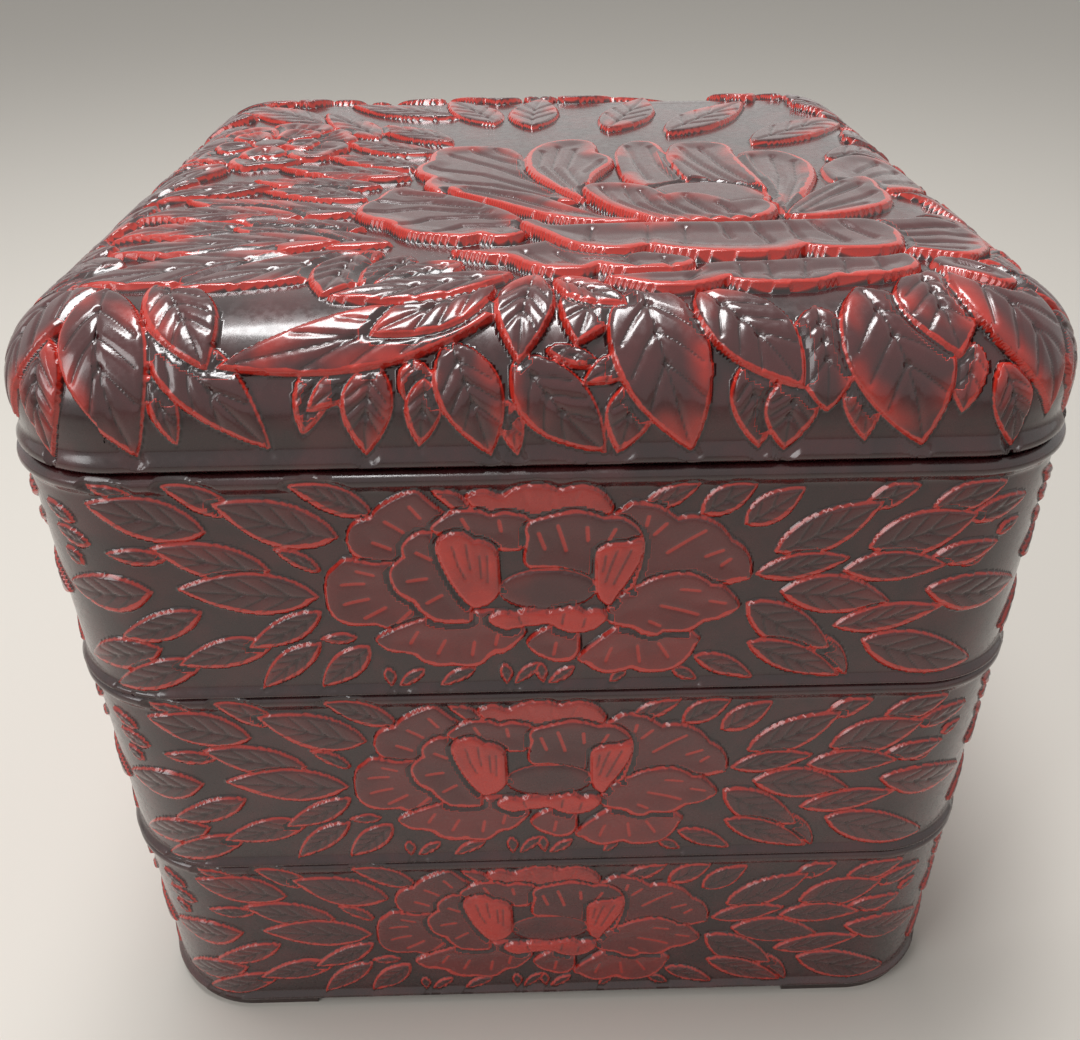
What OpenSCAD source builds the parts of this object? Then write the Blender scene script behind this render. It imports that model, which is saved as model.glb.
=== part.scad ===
// Stacking lacquer jubako: three square tiers with round corners, four low feet and a lift-off lid.
// +Z is up, the front faces -Y, and the origin is level with the feet's bottoms, under the middle.
// Each tier is four mitred side boards, a cove block in each inside corner and a floor panel.

/* [Plan] */
// Width and depth of a tier
box_w = 195; // [150:1:260]
// Radius of a tier's outside corners, seen from above
corner_r = 24; // [20:0.5:27]
// Radius of the coves in the inside corners
cove_r = 14; // [8:0.5:20]
// Thickness left at the two thin edges of a cove block
cove_edge = 0.6; // [0.4:0.1:2]

/* [Tier] */
// Height of one tier, from its bottom edge to its rim
tier_h = 50; // [35:1:80]
// Thickness of a side board
side_t = 9; // [8:0.5:12]
// Rounding of the rim's outer edge
rim_round = 1.5; // [0.5:0.1:3]
// Rounding of the bottom edge, on the tiers and on the lid
bottom_round = 0.8; // [0.4:0.1:1.5]
// Thickness of the floor panel, above the tier's bottom edge
floor_t = 5; // [4:0.5:8]
// How far the floor panel is let into the side boards
floor_groove = 3; // [1.5:0.5:5]
// Play between the floor panel and the boards that it is let into
floor_fit = 0.2; // [0.1:0.05:0.4]
// How far the floor stands out below the tier, to find the rim of the tier below
step_h = 2; // [1:0.25:2.25]
// Play between that step and the rim that it drops into
step_play = 1.5; // [0.5:0.25:2.5]

/* [Feet] */
// Height of the corner feet
foot_h = 2.5; // [2.3:0.1:6]
// How far a foot's outer face lies inside the tier's
foot_inset = 1; // [0.5:0.25:3]
// Width of a foot, under the side board
foot_w = 8; // [5:0.5:12]
// Length of a foot's two arms, measured from the tier's outer face
foot_arm = 39.5; // [30:0.5:60]

/* [Lid] */
// How far the lid's side lies inside the tier's
lid_inset = 0.75; // [0:0.25:3]
// Height of the lid, from its bottom edge to its top
lid_h = 27.5; // [20:0.5:40]
// Thickness of the top panel
panel_t = 12; // [8:0.5:16]
// Width of the rolled edge, measured in from the lid's side
roll_w = 23; // [15:0.5:24]
// Height of the rolled edge, measured down from the lid's top
roll_h = 19; // [12:0.5:19]
// Open joint between the lid's bottom edge and the rim under it
lid_joint = 0.7; // [0.3:0.1:1.5]
// Thickness of the locating strips inside the lid
strip_t = 3; // [2:0.5:5]
// How far the strips reach below the lid's bottom edge
strip_drop = 3; // [1.5:0.5:6]
// Play between the strips and the rim that they drop into
strip_play = 1.25; // [0.5:0.25:2.5]
// Gap between a strip's end and the cove block beside it
strip_gap = 0.5; // [0.3:0.1:2]

/* [Hidden] */
$fn = 96;
// Straight pieces in a rounded edge, and in the lid's rolled edge
EDGE_STEPS = 3;
ROLL_STEPS = 10;
// How far a cutting shape runs past what it cuts
PAST = 1;

TIERS = ["lower", "middle", "upper"];
SIDES = ["front", "right", "back", "left"];
CORNERS = ["front_right", "back_right", "back_left", "front_left"];

// Names of the nodes
function side_name(t, s) = str(TIERS[t], "_", SIDES[s], "_side");
function block_name(t, s) = str(TIERS[t], "_", CORNERS[s], "_cove");
function floor_name(t) = str(TIERS[t], "_floor");
function foot_name(s) = str(CORNERS[s], "_foot");
function rail_name(s) = str("lid_", SIDES[s], "_rail");
function lid_block_name(s) = str("lid_", CORNERS[s], "_cove");
function strip_name(s) = str("lid_", SIDES[s], "_strip");

// Half widths of the hollow inside a tier, of the floor let into it and of the step below it
hollow_half = box_w / 2 - side_t;
groove_half = hollow_half + floor_groove;
step_half = hollow_half - cove_edge - step_play;
foot_half = box_w / 2 - foot_inset;

// Corner radii that share their centres with the outside corner or with the cove
groove_r = corner_r - (box_w / 2 - groove_half);
step_r = cove_r - step_play;
foot_r = corner_r - foot_inset;
foot_inner_half = foot_half - foot_w;
foot_inner_r = max(1, foot_r - foot_w);

// The lid's rails are as thick as leaves the strips their play in the rim
strip_half = hollow_half - strip_play;
lid_w = box_w - 2 * lid_inset;
lid_corner_r = corner_r - lid_inset;
rail_h = lid_h - panel_t;
lid_roll_w = min(roll_w, lid_corner_r - 0.5);
lid_roll_h = min(roll_h, lid_h - 2 * bottom_round);

// Legs of the cove blocks
cove_leg = cove_r + cove_edge;

// Heights above the table
function tier_z(t) = foot_h + t * tier_h;
lid_z = tier_z(3) + lid_joint;

// Outer edges, as [inset, height] points from the bottom up
function round_bottom(r) =
    [for (i = [0:EDGE_STEPS]) let (a = 90 * i / EDGE_STEPS) [r * (1 - sin(a)), r * (1 - cos(a))]];
function round_top(w, h, top, steps) =
    [for (i = [0:steps]) let (a = 90 * i / steps) [w * (1 - cos(a)), top - h * (1 - sin(a))]];
tier_edge = concat(round_bottom(bottom_round), round_top(rim_round, rim_round, tier_h, EDGE_STEPS));
lid_edge = concat(round_bottom(bottom_round), round_top(lid_roll_w, lid_roll_h, lid_h, ROLL_STEPS));

LACQUER_RED = "#5a211f";
LACQUER_DARK = "#2b1513";
LACQUER_INSIDE = "#1a0f0e";
LACQUER_EDGE = "#7a2a25";

// A square solid with round plan corners, whose sides follow the given outer edge
module soft_block(w, r, edge) {
    half = w / 2;
    core = half - r;
    low = edge[0][1];
    high = edge[len(edge) - 1][1];
    right_side = [for (p = edge) [half - p[0], p[1]]];
    left_side = [for (i = [len(edge) - 1:-1:0]) [edge[i][0] - half, edge[i][1]]];
    for (turn = [0, 90])
        rotate(turn)
            rotate([90, 0, 90])
                translate([0, 0, -core])
                    linear_extrude(2 * core)
                        polygon(concat(right_side, left_side));
    for (turn = [0:90:270])
        rotate(turn)
            translate([core, core, 0])
                rotate_extrude(angle = 90)
                    polygon(concat([[0, low]], [for (p = edge) [r - p[0], p[1]]], [[0, high]]));
}

// The same with plain upright sides between two heights
module soft_prism(half, r, low, high) {
    soft_block(2 * half, r, [[0, low], [0, high]]);
}

// The quarter of the plan that the front takes, between its two mitres
module front_quarter(w, low, high) {
    translate([0, 0, low])
        linear_extrude(high - low)
            polygon([[0, 0], [-w, -w], [w, -w]]);
}

// A block in the front right inside corner of a hollow, with its inner face coved
module cove_block(half, low, high) {
    difference() {
        translate([half - cove_leg, -half, low])
            cube([cove_leg, cove_leg, high - low]);
        translate([half - cove_leg, cove_leg - half, low - PAST])
            cylinder(r = cove_r, h = high - low + 2 * PAST);
    }
}

// The room that the floor panel is let into
module floor_room(play) {
    soft_prism(groove_half - play, groove_r - play, -PAST, floor_t);
}

// A mitred side board: carved outside, plain inside, cut back at the bottom for the floor
module side_board() {
    intersection() {
        difference() {
            soft_block(box_w, corner_r, tier_edge);
            translate([-hollow_half, -hollow_half, -PAST])
                cube([2 * hollow_half, 2 * hollow_half, tier_h + 2 * PAST]);
            floor_room(0);
        }
        front_quarter(box_w, -PAST, tier_h + PAST);
    }
}

module tier_cove() {
    difference() {
        cove_block(hollow_half, 0, tier_h);
        floor_room(0);
    }
}

// The floor panel, and under it the step that finds the rim of the tier below
module floor_panel() {
    soft_prism(groove_half - floor_fit, groove_r - floor_fit, 0, floor_t);
    soft_prism(step_half, step_r, -step_h, 0);
}

// A low foot that follows the front right corner, under the side boards
module corner_foot() {
    intersection() {
        difference() {
            soft_prism(foot_half, foot_r, 0, foot_h);
            soft_prism(foot_inner_half, foot_inner_r, -PAST, foot_h + PAST);
        }
        translate([box_w / 2 - foot_arm, -box_w / 2, 0])
            cube([foot_arm, foot_arm, foot_h]);
    }
}

// A mitred rail under the edge of the lid's top panel
module lid_rail() {
    intersection() {
        difference() {
            soft_block(lid_w, lid_corner_r, lid_edge);
            translate([-strip_half, -strip_half, -PAST])
                cube([2 * strip_half, 2 * strip_half, lid_h + 2 * PAST]);
        }
        front_quarter(lid_w, -PAST, rail_h);
    }
}

// The lid bears on the upper tier through these blocks, which stand a joint's width below the rails
module lid_cove() {
    cove_block(strip_half, -lid_joint, rail_h);
}

// A strip inside the front rail, which drops inside the rim of the upper tier
module lid_strip() {
    length = 2 * (strip_half - cove_leg - strip_gap);
    translate([-length / 2, -strip_half, -strip_drop])
        cube([length, strip_t, rail_h + strip_drop]);
}

module lid_top_panel() {
    color(LACQUER_RED)
        translate([0, 0, lid_z])
            intersection() {
                soft_block(lid_w, lid_corner_r, lid_edge);
                translate([-lid_w / 2, -lid_w / 2, rail_h])
                    cube([lid_w, lid_w, panel_t]);
            }
}

// Places a shape made at the front, or at the front right corner, on side or corner s
module placed(s, z) {
    translate([0, 0, z])
        rotate(90 * s)
            children();
}

for (t = [0:2]) {
    for (s = [0:3]) {
        color(LACQUER_RED) placed(s, tier_z(t)) side_board();
        color(LACQUER_INSIDE) placed(s, tier_z(t)) tier_cove();
    }
    color(LACQUER_INSIDE) placed(0, tier_z(t)) floor_panel();
}
for (s = [0:3]) {
    color(LACQUER_DARK) placed(s, 0) corner_foot();
    color(LACQUER_EDGE) placed(s, lid_z) lid_rail();
    color(LACQUER_INSIDE) placed(s, lid_z) lid_cove();
    color(LACQUER_INSIDE) placed(s, lid_z) lid_strip();
}
lid_top_panel();
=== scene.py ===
# %% [markdown]
# A carved lacquer jubako
#
# A jubako is a stack of square food boxes under one lid. This one has a wooden core whose outside is
# carved with peonies and leaves, then coated with red lacquer, then with a dark one. Where the dark coat
# is rubbed through, along the raised edges, the red shows. The three tiers and the lid lift straight up.
#
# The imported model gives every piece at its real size. This lesson carves the outer faces of those pieces,
# lacquers them, and sets up the light and the camera.

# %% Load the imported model
import math

import bpy
import numpy as np
from mathutils import Matrix, Vector


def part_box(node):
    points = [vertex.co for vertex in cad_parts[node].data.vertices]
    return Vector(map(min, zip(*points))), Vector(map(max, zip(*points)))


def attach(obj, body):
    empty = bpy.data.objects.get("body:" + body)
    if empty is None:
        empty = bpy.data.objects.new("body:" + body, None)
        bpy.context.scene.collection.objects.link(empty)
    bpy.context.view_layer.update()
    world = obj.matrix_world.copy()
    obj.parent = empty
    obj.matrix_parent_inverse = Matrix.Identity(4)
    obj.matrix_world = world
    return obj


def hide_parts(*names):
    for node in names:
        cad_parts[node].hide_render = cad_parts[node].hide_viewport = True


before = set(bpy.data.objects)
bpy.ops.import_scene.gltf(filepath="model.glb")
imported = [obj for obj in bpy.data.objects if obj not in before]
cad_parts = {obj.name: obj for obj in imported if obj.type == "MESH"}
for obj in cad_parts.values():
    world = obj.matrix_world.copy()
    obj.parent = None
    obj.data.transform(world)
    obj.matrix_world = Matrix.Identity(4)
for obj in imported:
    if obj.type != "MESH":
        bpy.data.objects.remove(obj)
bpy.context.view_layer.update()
MM = 0.001

# %% [markdown]
# Sizes, read from the model
#
# A carved board has to end where the plain one ends, so each size is read from the model's own boxes.
# Only the radii can't be read from a box. They are the real radii of the round corners and edges.

# %% Read the sizes of the boards and of the lid
TIERS = ["lower", "middle", "upper"]
SIDES = ["front", "right", "back", "left"]
# The cosine and sine of the quarter turns that take the front to each side
QUARTER_TURNS = [(1, 0), (0, 1), (-1, 0), (0, -1)]


def node_box(name):
    low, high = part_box(name)
    return np.array(low) / MM, np.array(high) / MM


side_low, side_high = node_box("lower_front_side")
BOX_HALF = -side_low[1]
SIDE_T = side_high[1] - side_low[1]
TIER_H = side_high[2] - side_low[2]
TIER_Z = {t: node_box(t + "_front_side")[0][2] for t in TIERS}
floor_high = node_box("lower_floor")[1]
FLOOR_TOP = floor_high[2] - TIER_Z["lower"]
FLOOR_FIT = 0.2
GROOVE_HALF = floor_high[0] + FLOOR_FIT
rail_low, rail_high = node_box("lid_front_rail")
panel_low, panel_high = node_box("lid_top_panel")
LID_HALF = -rail_low[1]
LID_Z = rail_low[2]
LID_H = panel_high[2] - LID_Z
RAIL_H = panel_low[2] - LID_Z
RAIL_T = rail_high[1] - rail_low[1]

CORNER_R = 24.0
RIM_ROUND = 1.5
BOTTOM_ROUND = 0.8
LID_CORNER_R = CORNER_R - (BOX_HALF - LID_HALF)
ROLL_W = LID_CORNER_R - 0.5
ROLL_H = 19.0
print("Tier", 2 * BOX_HALF, "mm wide,", TIER_H, "mm high; lid", 2 * LID_HALF, "mm wide,", LID_H, "mm high")

# %% [markdown]
# The carver's field
#
# The carving is worked out on a flat sheet that is later wrapped around the box, as a carver would lay a
# paper pattern around it. Each point of the sheet keeps how deep it is cut, how far it is from the nearest
# cut outline, and how far from the nearest vein. The motifs are cut from the back to the front, so a petal
# that lies over a leaf covers it and cuts it down along its own edge. Geometry Nodes could scatter leaves
# as separate pieces, but here each one has to cut into what lies behind it, so the sheet is worked out with
# arrays.

# %% Measure the distance from many points to an outline or a stroke


def to_segments(x, y, ax, ay, bx, by):
    """Distance from every point to every segment, and the vector to the nearest place on each."""
    dx, dy = bx - ax, by - ay
    length = np.maximum(dx * dx + dy * dy, 1e-9)
    t = ((x[:, None] - ax) * dx + (y[:, None] - ay) * dy) / length
    t = np.clip(t, 0, 1)
    return x[:, None] - (ax + t * dx), y[:, None] - (ay + t * dy)


def outline_distance(x, y, outline):
    """Signed distance to a closed outline, positive inside, and the direction out of it."""
    a = np.asarray(outline, float)
    b = np.roll(a, -1, axis=0)
    vx, vy = to_segments(x, y, a[:, 0], a[:, 1], b[:, 0], b[:, 1])
    away = np.hypot(vx, vy)
    near = away.argmin(axis=1)
    rows = np.arange(len(x))
    distance = away[rows, near]
    crosses = (a[:, 1] > y[:, None]) != (b[:, 1] > y[:, None])
    rise = np.where(b[:, 1] == a[:, 1], 1e-9, b[:, 1] - a[:, 1])
    left_of = x[:, None] < a[:, 0] + (y[:, None] - a[:, 1]) / rise * (b[:, 0] - a[:, 0])
    inside = (crosses & left_of).sum(axis=1) % 2 == 1
    signed = np.where(inside, distance, -distance)
    scale = np.where(inside, -1.0, 1.0) / np.maximum(distance, 1e-6)
    return signed, vx[rows, near] * scale, vy[rows, near] * scale


def stroke_distance(x, y, line):
    a = np.asarray(line, float)
    vx, vy = to_segments(x, y, a[:-1, 0], a[:-1, 1], a[1:, 0], a[1:, 1])
    return np.hypot(vx, vy).min(axis=1)


# %% Keep the carved sheet and cut one motif into it
# A distance, in millimetres, that stands for no outline, vein or stroke nearby
FAR = 9.0
# The way over which a petal hollows out
DISH_RUN = 5.0
# The share of a red line that every edge keeps, and what an edge that faces sideways adds to it
RUB_LEAST = 0.22
BAND_SIDE_RUB = 0.25
LID_SIDE_RUB = 0.2
# The width of a red line before any motif sets it
RUB_AT_FIRST = 0.3


def soft_step(t):
    t = np.clip(t, 0, 1)
    return t * t * (3 - 2 * t)


class Sheet:
    """A sheet of points in millimetres, with what the carver and the lacquerer leave on each."""

    def __init__(self, x, y, ground, period=None, out_from=None):
        self.x = x.ravel()
        self.y = y.ravel()
        self.period = period
        self.out_from = out_from
        count = self.x.size
        self.depth = np.broadcast_to(ground, x.shape).ravel().astype(float).copy()
        self.edge = np.full(count, -FAR)
        self.vein = np.full(count, FAR)
        self.stroke = np.full(count, FAR)
        self.rub = np.full(count, RUB_AT_FIRST)
        self.fill = np.zeros(count)

    def near(self, outline, margin):
        """Indices of the points around an outline, once for each time that the sheet repeats."""
        a = np.asarray(outline, float)
        low = a.min(axis=0) - margin
        high = a.max(axis=0) + margin
        shifts = [0.0] if self.period is None else [-self.period, 0.0, self.period]
        for shift in shifts:
            x = self.x + shift
            hit = (x > low[0]) & (x < high[0]) & (self.y > low[1]) & (self.y < high[1])
            index = np.nonzero(hit)[0]
            if index.size:
                yield index, x[index], self.y[index]

    def carve(self, outline, top, drop=0.35, bevel=1.0, cut=0.35, reach=1.3, dish=0.0, rub=0.9, fill=0.0,
              veins=(), strokes=(), vein_w=0.7, vein_deep=0.18):
        """Raises one motif to a level, cuts down what lies behind its edge, and draws its lines."""
        for index, x, y in self.near(outline, reach):
            d, nx, ny = outline_distance(x, y, outline)
            inside = d > 0
            i, din = index[inside], d[inside]
            # A motif is highest a bevel's width in from its edge, and may hollow out past that
            slope = (1 - np.clip(din / bevel, 0, 1)) ** 2
            self.depth[i] = top + drop * slope + dish * soft_step((din - bevel) / DISH_RUN)
            self.edge[i] = din
            self.fill[i] = fill
            for lines, nearest in ((veins, self.vein), (strokes, self.stroke)):
                nearest[i] = FAR
                for line in lines:
                    away = stroke_distance(x[inside], y[inside], line)
                    self.depth[i] += vein_deep * np.clip(1 - away / vein_w, 0, 1)
                    nearest[i] = np.minimum(nearest[i], away)
            # The cut beside it is deepest at the edge and comes up over the reach
            outside = ~inside & (d > -reach)
            o, dout = index[outside], -d[outside]
            level = top + drop + cut - (cut + drop) * dout / reach
            self.depth[o] = np.maximum(self.depth[o], level)
            closer = dout < np.abs(self.edge[o])
            self.edge[o[closer]] = -dout[closer]
            worn = self.down(x, y, nx, ny)
            width = rub * (RUB_LEAST + (1 - RUB_LEAST) * worn)
            self.rub[i] = width[inside]
            self.rub[o[closer]] = width[outside][closer]

    def down(self, x, y, nx, ny):
        """How much an edge faces down, or away from the lid's middle, where the coat is rubbed most."""
        if self.out_from is None:
            return np.clip(BAND_SIDE_RUB - ny, 0, 1)
        ox, oy = x - self.out_from[0], y - self.out_from[1]
        size = np.maximum(np.hypot(ox, oy), 1)
        return np.clip(LID_SIDE_RUB + (nx * ox + ny * oy) / size, 0, 1)


# %% [markdown]
# Leaves and petals
#
# Two motifs repeat all over the box: a pointed leaf with a midrib and side veins, and a petal with a
# scalloped rim and short strokes. A leaf is worked out from its base, its tip, its width and its bend, so
# that a whole spray is one short list. A petal's rim is a smooth curve through a few given points,
# because the lobes of a peony follow no rule.

# %% Draw a leaf
# Below 1, this puts a leaf's widest place nearer its base and makes its ends fuller
LEAF_FULLNESS = 0.85
# The points of the midrib, and where on it the side veins start and end, from base to tip as 0 to 1
MIDRIB = (0.06, 0.25, 0.5, 0.75, 0.93)
VEINS_START = 0.2
VEINS_STRETCH = 0.5
VEINS_END = 0.95
# How far along the leaf a side vein runs, and how far it reaches towards the edge
VEIN_RUN = 0.2
VEIN_REACH = 0.78
# Where a side vein bends, along the leaf and as a share of its reach
VEIN_BEND_ALONG = 0.08
VEIN_BEND_OUT = 0.45
# A leaf longer than this, in millimetres, has three pairs of side veins in place of two
LONG_LEAF = 14


def by_hand(k, size, beat, start=0.0):
    """A small difference from one motif to the next, which comes out alike on every run."""
    return size * math.sin(beat * k + start)


def leaf_shape(base, tip, width, bend=0.0, steps=11):
    """A leaf's outline and its veins, both in millimetres on the sheet."""
    base = np.array(base, float)
    tip = np.array(tip, float)
    along = tip - base
    length = np.hypot(*along)
    along = along / length
    across = np.array([-along[1], along[0]])

    def axis(t):
        return base + along * length * t + across * bend * length * 4 * t * (1 - t)

    def half(t):
        return 0.5 * width * math.sin(math.pi * t ** LEAF_FULLNESS) ** LEAF_FULLNESS

    ts = [k / steps for k in range(steps + 1)]
    left = [axis(t) + across * half(t) for t in ts]
    right = [axis(t) - across * half(t) for t in reversed(ts[1:-1])]
    veins = [[axis(t) for t in MIDRIB]]
    pairs = 3 if length > LONG_LEAF else 2
    for k in range(pairs):
        t = VEINS_START + VEINS_STRETCH * k / pairs
        for side in (1, -1):
            end = min(t + VEIN_RUN, VEINS_END)
            reach = side * half(end) * VEIN_REACH
            bend_at = axis(t + VEIN_BEND_ALONG) + across * reach * VEIN_BEND_OUT
            veins.append([axis(t), bend_at, axis(end) + across * reach])
    return left + right, veins


def smooth_rim(points, steps=4):
    """A closed smooth outline through control points. A point with a third value stays a sharp notch."""
    p = [np.array(q[:2], float) for q in points]
    sharp = [len(q) > 2 for q in points]
    count = len(p)
    rim = []
    for k in range(count):
        a, b, c, d = p[k - 1], p[k], p[(k + 1) % count], p[(k + 2) % count]
        start = np.zeros(2) if sharp[k] else (c - a) / 2
        end = np.zeros(2) if sharp[(k + 1) % count] else (d - b) / 2
        for j in range(steps):
            t = j / steps
            rim.append((2 * t**3 - 3 * t**2 + 1) * b + (t**3 - 2 * t**2 + t) * start
                       + (3 * t**2 - 2 * t**3) * c + (t**3 - t**2) * end)
    return rim


# %% [markdown]
# The band round each tier
#
# Every side carries the same carving: a peony in the middle and leaves that fan out to both corners,
# over a ground that sinks about a millimetre and comes up to a plain strip under the rim. The sheet is one
# side wide and repeats at the mitres, so a leaf that crosses a corner goes on along the next side.

# %% Lay out the leaves of the band
# Each leaf is (base, tip, width), with s from the middle of the side and z from the tier's bottom edge.
BAND_LEAVES_RIGHT = [
    ((82, 34), (86.5, 36.5), 2.5), ((76, 27.8), (81, 30.8), 2.5), ((70, 30), (82.5, 32.5), 5),
    ((75, 38), (87, 41.5), 4.5), ((68, 41), (81, 45.5), 5.5), ((58, 32.5), (76.5, 39.3), 9),
    ((56, 41), (65, 45.6), 4.5), ((41, 32), (59, 42.3), 8), ((35, 38), (44.8, 45.4), 6),
    ((27, 40.5), (36.5, 46.3), 5.5), ((17, 42.5), (26.5, 46.8), 4), ((54, 27.5), (73, 28.4), 6.5),
    ((38, 27), (55, 30.4), 5.5), ((70, 22.8), (91.5, 21), 8), ((43, 23), (64, 20), 8.5),
    ((60, 11), (84, 4.2), 9.5), ((54, 14.5), (74, 18.9), 6), ((50, 13), (58.5, 2.2), 4.5),
    ((37, 20.5), (54, 9.5), 8.5), ((38, 11), (57, 2.2), 6.5), ((28, 8), (40, 2.2), 4.5),
]
BAND_LEAVES_LEFT = [
    ((-84, 40), (-91, 43), 3), ((-82, 35.5), (-90, 38), 3.5), ((-85, 30.5), (-89, 33.5), 3),
    ((-71, 46.3), (-79, 48.6), 2.5), ((-60, 38.5), (-80.5, 44.6), 8.5), ((-54, 42), (-66, 48.4), 5),
    ((-37, 37), (-58, 44.6), 9), ((-30.5, 41.5), (-44.5, 48), 5.5), ((-68, 33), (-79, 34.2), 3.5),
    ((-50, 30), (-70.5, 35.6), 7.5), ((-41, 29.5), (-49, 35), 3), ((-72, 25.8), (-91, 25), 8),
    ((-42, 24), (-67.5, 26.4), 9), ((-73, 12.5), (-91.5, 7), 7), ((-64, 21), (-80.5, 15.2), 6),
    ((-66, 9), (-85.5, 1.9), 6.5), ((-52, 13), (-70.5, 8.5), 6.5), ((-42, 20.5), (-56.5, 12.6), 5.5),
    ((-43, 13), (-55.5, 2.2), 5.5), ((-34, 12), (-44, 2.2), 6), ((-36, 14.2), (-43, 14), 2.5),
]
BAND_LEAVES_BELOW = [
    ((-31, 6.5), (-30.5, 1.9), 2.2), ((-24, 6), (-29, 1.9), 2.6), ((-14, 6), (-21, 1.9), 2.8),
    ((-8.5, 7), (-8, 1.9), 2.2), ((-2, 7), (-6.5, 1.9), 2.4), ((-1.5, 7), (-1, 1.9), 2),
    ((5, 6), (0, 1.9), 2.4), ((15, 4.5), (12, 1.9), 2), ((24, 5), (29, 1.9), 2.6),
]

# %% Lay out the peony of the band
# Each petal is (rim, fill, strokes). A rim starts and ends inside the flower, under the petals over it.
BAND_PETALS = [
    ([(-12, 32), (-21, 45), (-24, 46.3), (-29, 43.7), (-31, 41.2, 0), (-32.7, 40.9), (-34.6, 39.5),
      (-35.6, 36.5), (-35, 33.5), (-33, 31), (-31, 29.3)], 0.1,
     [((-31, 36), (-28, 34.5)), ((-28.5, 40.5), (-25.5, 38)), ((-24, 43.5), (-22.3, 41))]),
    ([(-12, 38), (-19.7, 45.7), (-18, 46.4), (-15, 45.2), (-12, 40)], 0.15, []),
    ([(-8, 38), (-14, 44.3), (-12.6, 46), (-10.5, 46.3), (-8, 45.2), (-6, 46.6), (-3, 47.3), (0, 47.2),
      (2, 46.2, 0), (6, 47.1), (9, 46), (11, 43.6), (11.4, 41.5), (8, 38)], 0.75,
     [((-4, 46.2), (-3.4, 43.6)), ((1, 45.6), (1, 43.2)), ((6, 45.9), (5, 43.3))]),
    ([(8, 36), (14, 42.7), (16, 43.2), (19, 42.7), (21, 41.5), (23, 39.8, 0), (25.5, 40.3), (28.5, 39.5),
      (31, 37.8), (33, 35, 0), (35, 33.6), (36.6, 31), (37.1, 28), (36.3, 26), (26, 24), (12, 26)], 0.1,
     [((19, 36.5), (21, 39)), ((21.5, 32.5), (28, 37.3)), ((28.5, 31.5), (31.5, 33)),
      ((31.5, 29.5), (33, 31)), ((17.5, 38.5), (17.8, 40.6))]),
    ([(-18, 30), (-31.5, 31.6), (-36, 32.6), (-38.2, 31), (-40, 29), (-40.8, 25), (-40.6, 21), (-39, 18.4),
      (-36, 17.2), (-32, 17.3, 0), (-30, 16.2), (-27.5, 15.4), (-24.3, 17), (-18, 19)], 0.15,
     [((-37.5, 27), (-33.5, 27)), ((-37.5, 22.5), (-33, 23.5)), ((-34, 19.3), (-30, 21.5)),
      ((-28, 18), (-25.5, 20.5)), ((-34.5, 30), (-31.5, 29))]),
    ([(-22, 19), (-32, 14.6), (-31.3, 11.8), (-29.5, 10.7), (-26, 10), (-24, 8), (-21, 6.9),
      (-18.3, 7.2, 0), (-16, 6.7), (-13, 7), (-10.3, 9.5), (-8, 10.1), (-5, 13.3), (-4.5, 15.5),
      (-8, 20)], 0.2,
     [((-26, 13), (-24.5, 15.8)), ((-21, 10.3), (-19.5, 13.3)), ((-14.5, 9.8), (-14, 12.8)),
      ((-10, 12.3), (-9.5, 14.5))]),
    ([(16, 18), (6, 9), (7.5, 6.4), (9.5, 4.8), (12, 4.2), (16, 5.3, 0), (18.5, 4.2), (22, 4.3), (25, 5.5),
      (27.2, 8), (28.4, 11), (28.5, 13), (22, 18)], 0.3,
     [((11, 7.5), (12, 10.8)), ((17.5, 7.3), (17, 11)), ((23, 8.2), (21, 11.5))]),
    ([(0, 16), (-4, 12.7), (-3, 10), (-1, 8.5), (2, 7.3), (4.9, 8), (6, 11), (5, 16)], 0.2,
     [((1, 9.6), (1.5, 12.3))]),
    ([(12, 22), (17, 25.6), (19, 26.8), (22, 27.7), (25.5, 27.9), (28, 27), (30, 25.3, 0), (32, 25),
      (34, 23), (35.6, 20.6), (35.1, 18.9), (32, 17), (29.5, 16.4), (26.5, 14.2), (22, 14.4, 0),
      (20.5, 13.4), (18, 13.7), (15.5, 15.3), (11, 17)], 0.2,
     [((24.5, 24.3), (28, 24)), ((21, 20.5), (28, 18.5)), ((30, 21.5), (33, 21)), ((19, 17), (21, 16))]),
    ([(-14, 20), (-15, 17.5), (-20.5, 17.7), (-23, 19.4), (-25, 22.4), (-27.5, 24.4), (-28.6, 28),
      (-28.1, 30.5), (-26, 32.8, 0), (-25.9, 35), (-24, 37.3), (-21, 38), (-14, 34)], 0.1,
     [((-25.5, 27.5), (-22, 27.8)), ((-23.5, 33.8), (-21, 32)), ((-22.3, 22.5), (-19.5, 24))]),
    ([(-12, 34), (-20.2, 37.8), (-19, 40.5), (-16, 42.3), (-12, 42.3), (-10, 41.4), (-7, 41.8), (-3, 40),
      (-4, 34)], 0.1, [((-15, 40.8), (-14, 38.6)), ((-8.5, 40.3), (-8.2, 38))]),
    ([(-4, 30), (-3.7, 36), (-3.9, 38), (-3, 39.8), (0, 40.8), (4, 41.8), (7, 41.5), (10, 40.3, 0),
      (13, 40.3), (15.5, 38.5), (16.8, 36.5), (17.3, 33), (16.5, 28), (14, 24), (2, 29)], 0.05,
     [((1.8, 39), (3.3, 33.5)), ((7, 38.5), (7.2, 35.5)), ((12, 38), (11, 35.6)),
      ((-1.6, 37.5), (-0.5, 34))]),
]
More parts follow.
